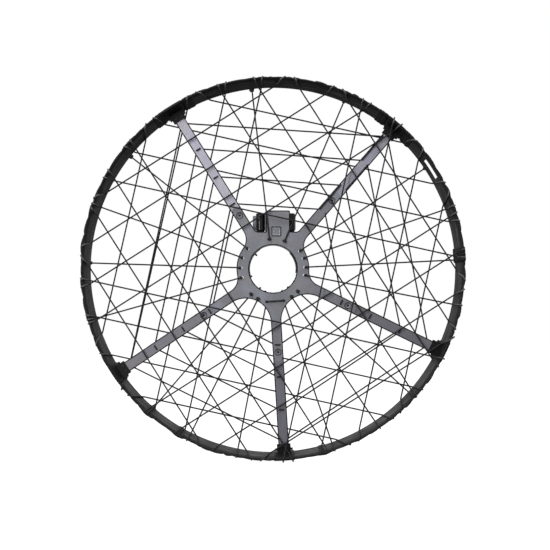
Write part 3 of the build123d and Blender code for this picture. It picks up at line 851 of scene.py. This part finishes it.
def shorten_spring(name):
    """Give the spring its own copy of its mesh."""
    spring = f"button_spring_{name}"
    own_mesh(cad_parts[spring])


def button_marks(name, finish):
    """A dark ring round the bezel's foot, and a dark dimple in the middle of the button."""
    low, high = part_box(f"button_bezel_{name}")
    middle = Vector(((low.x + high.x) / 2, 0, (low.z + high.z) / 2))
    ring_r = (high.x - low.x) / 2 - bezel_ring_inset
    circle = [at(ring_r, clock, -half_plate - bezel_ring_rise) + middle for clock in range(0, 360, 5)]
    ring = MeshData()
    ring.tube(circle, lambda angle, travelled, index: bezel_ring_r, 8, closed=True)
    ring.piece(f"bezel_ring_{name}", finish)
    face_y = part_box(f"release_button_{name}")[0].y
    line = [middle + Vector((0, face_y + behind, 0)) for behind, _ in dimple_profile]
    dimple = MeshData()
    dimple.tube(line, lambda angle, travelled, index: dimple_profile[index][1], 32)
    dimple.piece(f"button_dimple_{name}", finish, rides=f"button_{name}")


def lumps():
    """(clock, height 0-1) stations of random lumps round the hoop, pinched between them."""
    stations = []
    clock = 0.0
    while clock < 360.0:
        width = min(random.uniform(*lump_widths), 360.0 - clock)
        tall = random.uniform(*lump_heights) ** low_lumps
        lean = random.uniform(*lump_leans)
        count = max(3, round(width / lump_step))
        for i in range(count):
            share = (i / count) ** lean
            crease = crease_depth * math.sin(crease_count * math.pi * share + clock)
            height = tall * math.sin(math.pi * share) ** lump_fullness * (1 + crease)
            stations.append((clock + width * i / count, height))
        clock += width
    return stations


def swelling(clock):
    """Height added by the bigger bulges, where the binding covers a knot."""
    return sum(
        tall * max(0.0, math.cos((clock - middle) / half * math.pi / 2)) ** bulge_fullness
        for middle, half, tall in bulges
        if abs(clock - middle) < half
    )


def edge_cover(finish):
    """Fabric binding round the band's front edge: lumpy, pinched, with bulges over the knots."""
    data = MeshData()
    stations = lumps()
    sides = cover_sides
    for clock, lump in stations:
        at_slot = slot_clock[0] - slot_margin < clock < slot_clock[1] + slot_margin
        back = cover_share_at_slot if at_slot else cover_share
        rear_r = band_front_r + (band_rear_r - band_front_r) * back
        rear_y = band_front_y + (band_rear_y - band_front_y) * back
        along = math.atan2(rear_y - band_front_y, rear_r - band_front_r)
        puff = cover_base + cover_puff * lump + swelling(clock)
        for k in range(sides):
            a = along + math.pi / 2 + 2 * math.pi * k / sides
            centre_r, centre_y = (band_front_r, band_front_y) if k <= sides / 2 else (rear_r, rear_y)
            outward = max(0.0, math.cos(a - cover_lean))
            reach = band_thickness / 2 + cover_gap + puff * outward**cover_fade
            data.vertices.append(at(centre_r + reach * math.cos(a), clock, centre_y + reach * math.sin(a)))
    data.skin(len(stations), sides, closed=True)
    made = data.piece("hoop_edge_cover", finish)


def chamfered(r0, r1, y0, y1, cut):
    """(radius, y) corners of a rectangle with its corners cut off."""
    return [
        (r0 + cut, y0), (r1 - cut, y0), (r1, y0 + cut), (r1, y1 - cut),
        (r1 - cut, y1), (r0 + cut, y1), (r0, y1 - cut), (r0, y0 + cut),
    ]


def opening_piece(name, clock, width, inner_r, depth_y, finish):
    """A rubber pad or tab on the wall of the hub opening; width is in degrees."""
    y0, y1 = depth_y
    cut, wall_r = rubber_cut, opening_r - wall_gap
    full = chamfered(inner_r, wall_r, y0, y1, cut)
    small = chamfered(inner_r + cut, wall_r, y0 + cut, y1 - cut, cut)
    count = max(2, round(width / degrees_per_ring))
    sections = [small] + [full] * count + [small]
    swept_section(name, clock - width / 2, clock + width / 2, sections, finish)


def outlines(node, y):
    """Closed lines round the flat face that a CAD node has at depth y, without its small holes."""
    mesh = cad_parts[node].data
    places = {v.index: tuple(round(c, 5) for c in v.co) for v in mesh.vertices}
    edges = {}  # a dictionary, because it keeps its order
    for face in mesh.polygons:
        corners = [places[i] for i in face.vertices]
        if any(abs(c[1] - y) > flat_tolerance for c in corners):
            continue
        for a, b in zip(corners, corners[1:] + corners[:1]):
            if (b, a) in edges:
                del edges[(b, a)]
            elif a != b:
                edges[(a, b)] = True
    following = {a: b for a, b in edges}
    while following:
        first, point = following.popitem()
        line = [Vector(first)]
        while point in following:
            line.append(Vector(point))
            point = following.pop(point)
        if point == first and sum((a - b).length for a, b in zip(line, line[1:])) > shortest_seal:
            yield line


def at_lap(point):
    """True on the round end of a half lap, where a hub arm's tongue meets its spar."""
    for name, clock in spar_clock.items():
        middle = at(button_centre[name].xz.length + lap_past_button, clock)
        reach = Vector((point.x - middle.x, 0, point.z - middle.z))
        aside = abs(reach.dot(at(1, clock + 90)))
        if abs(reach.length - lap_end_r) < lap_tolerance and aside < lap_half_width:
            return True
    return False


def edge_seals(node, finish):
    """Lacquered bands along the edges of a flat part's faces, wrapped a little over the edge."""
    lap_size = seal_at_hub_lap if node == "hub_plate" else seal_at_spar_lap
    data = MeshData()
    for y in (-half_plate, half_plate):
        outward = Vector((0, math.copysign(1, y), 0))
        for line in outlines(node, y):
            points = evenly(line + line[:1], seal_step)[:-1]
            for i, point in enumerate(points):
                along = (points[(i + 1) % len(points)] - points[i - 1]).normalized()
                inward = outward.cross(along)
                size = lap_size if at_lap(point) else 1.0
                sink = seal_sink * (1 - size)
                data.vertices += [
                    point + inward * across * size + outward * (up * size - sink)
                    for across, up in seal_section
                ]
            data.skin(len(points), len(seal_section), closed=True)
    made = data.piece(f"edge_seal_{node}", finish)


# ---- stage ----

floor_half, floor_drop = 30.0, 0.001
floor_tone, floor_glow = 0.12, 0.94  # together they come out as white as the backdrop
# how bright the sky lights things: (direction's Z, strength), below and above
sky_low, sky_high = (-0.7, 0.15), (0.8, 1.15)


def make_floor():
    """A wide pale floor just under the cage, which the cage doesn't mirror."""
    size = floor_half
    low = cad_box[0].z - floor_drop
    corners = [(-size, -size, low), (size, -size, low), (size, size, low), (-size, size, low)]
    mesh = bpy.data.meshes.new("floor")
    mesh.from_pydata(corners, [], [(0, 1, 2, 3)])
    floor = bpy.data.objects.new("floor", mesh)
    bpy.context.scene.collection.objects.link(floor)
    finish = new_finish("floor_white", (floor_tone,) * 3, 0.9, Emission_Strength=floor_glow)
    finish.node_tree.nodes["Principled BSDF"].inputs["Emission Color"].default_value = (1, 1, 1, 1)
    mesh.materials.append(finish)
    floor.visible_diffuse = False
    floor.visible_glossy = False


def make_world():
    """A white backdrop, and a soft sky that is brighter above than below."""
    world = bpy.data.worlds.new("studio")
    bpy.context.scene.world = world
    world.use_nodes = True
    nodes, links = world.node_tree.nodes, world.node_tree.links
    output = nodes["World Output"]
    lighting = nodes["Background"]
    direction = nodes.new("ShaderNodeTexCoord")
    split = nodes.new("ShaderNodeSeparateXYZ")
    links.new(direction.outputs["Generated"], split.inputs[0])
    sky = nodes.new("ShaderNodeMapRange")
    for name, value in zip(("From Min", "To Min", "From Max", "To Max"), sky_low + sky_high):
        sky.inputs[name].default_value = value
    links.new(split.outputs["Z"], sky.inputs["Value"])
    links.new(sky.outputs["Result"], lighting.inputs["Strength"])
    white = nodes.new("ShaderNodeBackground")
    white.inputs["Strength"].default_value = 1.0
    for background in (lighting, white):
        background.inputs["Color"].default_value = (1, 1, 1, 1)
    path = nodes.new("ShaderNodeLightPath")
    choose = nodes.new("ShaderNodeMixShader")
    links.new(path.outputs["Is Camera Ray"], choose.inputs[0])
    links.new(lighting.outputs[0], choose.inputs[1])
    links.new(white.outputs[0], choose.inputs[2])
    links.new(choose.outputs[0], output.inputs["Surface"])


def area_light(name, place, size, power, height=None):
    """A square or rectangular light that faces the hub."""
    data = bpy.data.lights.new(name, "AREA")
    data.shape = "RECTANGLE"
    data.size = size
    data.size_y = height or size
    data.energy = power
    light = bpy.data.objects.new(name, data)
    light.location = place
    light.rotation_euler = (-Vector(place)).to_track_quat("-Z", "Y").to_euler()
    bpy.context.scene.collection.objects.link(light)


# ---- build ----

random.seed(7)

cord = cord_finish()
for family in chord_tilts:
    cord_piece(f"cords_{family}", chord_lines(family), cord, f"net_chords_{family}")
cord_piece("cords_radial", radial_lines(), cord, "radial_cords")
cord_piece("cord_web", web_lines(), cord, "web_cord")
knots_piece(cord)

# painted light: the spars share one coat, but each gets its own tone for how the light falls on it, the upper
# ones lighter as a painted reflection of the light from above, the lower ones darker as painted shade
# (tone, strength of the ripples across the bar)
spar_lit_and_shaded_looks = {
    "upper_left": ((0.275, 0.268, 0.312), 0.04),
    "upper_right": ((0.225, 0.220, 0.255), 0.12),
    "lower_right": ((0.110, 0.108, 0.122), 0.04),
    "bottom": ((0.105, 0.104, 0.125), 0.04),
    "lower_left": ((0.125, 0.122, 0.138), 0.04),
}
black = moulded_finish("black_nylon", (0.006, 0.006, 0.0065), 0.5, specular=0.12)
rubber = moulded_finish("socket_rubber", (0.004, 0.004, 0.005), 0.16, specular=0.35, grain_scale=700.0)
tape = moulded_finish("black_tape", (0.005, 0.005, 0.0055), 0.55, specular=0.12, grain_scale=1100.0)
lacquer = moulded_finish("edge_lacquer", (0.004, 0.004, 0.005), 0.5, specular=0.08)
cover = moulded_finish("binding_fabric", (0.009, 0.009, 0.010), 0.6, specular=0.12, grain_scale=1300.0)
screw_steel = metal_finish("screw_black", (0.02, 0.02, 0.021), 0.4)
button_grey = moulded_finish("button_grey", (0.085, 0.085, 0.095), 0.5, specular=0.25)
bezel_grey = moulded_finish("bezel_grey", (0.135, 0.134, 0.150), 0.5, specular=0.25)
spring_steel = metal_finish("spring_steel", (0.45, 0.45, 0.46), 0.3)
badge_alloy = metal_finish("badge_alloy", (0.42, 0.42, 0.45), 0.35)
badge_dark = metal_finish("badge_dark", (0.03, 0.03, 0.034), 0.45)
hub = hub_finish()
hoop = hoop_finish()
collar = metal_finish("collar_alloy", (0.60, 0.60, 0.64), 0.4, brushed=(1, 40, 1))

for name, (tone, waves) in spar_lit_and_shaded_looks.items():
    dress(f"spar_{name}", flat_bar_finish(f"spar_coat_{name}", spar_clock[name], tone, waves))
    dress(f"button_bezel_{name}", bezel_grey)
    dress(f"release_button_{name}", button_grey)
    button_marks(name, tape)
    dress(f"button_cup_{name}", bezel_grey)
    dress(f"button_spring_{name}", spring_steel)
    shorten_spring(name)
    dress(f"rim_clip_{name}", black)
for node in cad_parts:
    if node.startswith("hoop_"):
        dress(node, hoop)
dress("hub_plate", hub)
dress("mount_block", hub)
dress("badge_plate", badge_dark)
dress("hub_collar", collar)
dress("upright_socket_left", rubber)
dress("upright_socket_right", rubber)
dress("block_screws", screw_steel)
dress("clip_screws", screw_steel)

badge_frame(badge_alloy)
edge_cover(cover)
for name in ("upper_left", "upper_right"):
    clock = spar_clock[name]
    clip_end = clip_half_angle + tape_clearance
    tape_wrap(f"tape_{name}_before", clock - tape_half_angle, clock - clip_end, 3, 0.0028, tape)
    tape_wrap(f"tape_{name}_after", clock + clip_end, clock + tape_half_angle, 3, 0.0028, tape)
tape_wrap("tape_right", 83.4, 88.2, 4, 0.0045, tape)

# (clock, length)
rim_sleeves = ((165.0, 0.022), (209.8, 0.024), (220.8, 0.030))
for number, (clock, length) in enumerate(rim_sleeves, 1):
    sleeve(f"rim_sleeve_{number}", clock, length, cover)

# the opening's metal lip, rubber pads (clock, width in degrees, radius inside) and tabs (clock, the same)
lip = chamfered(0.0898, opening_r - wall_gap, -0.0030, 0.0180, 0.0003)
swept_section("opening_lip", 0.0, 360.0, [lip] * lip_rings, collar)
opening_pads = ((290.0, 76.0, 0.0880), (73.0, 54.0, 0.0865))
for number, (clock, width, inner_r) in enumerate(opening_pads, 1):
    opening_piece(f"opening_pad_{number}", clock, width, inner_r, (-0.0046, 0.012), rubber)
opening_tabs = (
    (309.7, 0.0785), (250.8, 0.0835), (213.6, 0.0845), (198.5, 0.0880), (157.3, 0.0880), (141.2, 0.0875),
)
tab_width = 4.6
for number, (clock, inner_r) in enumerate(opening_tabs, 1):
    opening_piece(f"opening_tab_{number}", clock, tab_width, inner_r, (-0.0052, 0.004), rubber)

edge_seals("hub_plate", lacquer)
for name in spar_names:
    edge_seals(f"spar_{name}", lacquer)

make_floor()
make_world()
area_light("key", (-2.2, -3.2, 3.0), size=2.4, power=160.0)
area_light("top", (0.5, -0.5, 3.2), size=2.0, power=60.0)
area_light("strip", (-1.45, -2.5, 0.35), size=0.16, power=26.0, height=1.4)
bpy.context.scene.view_settings.view_transform = "Standard"
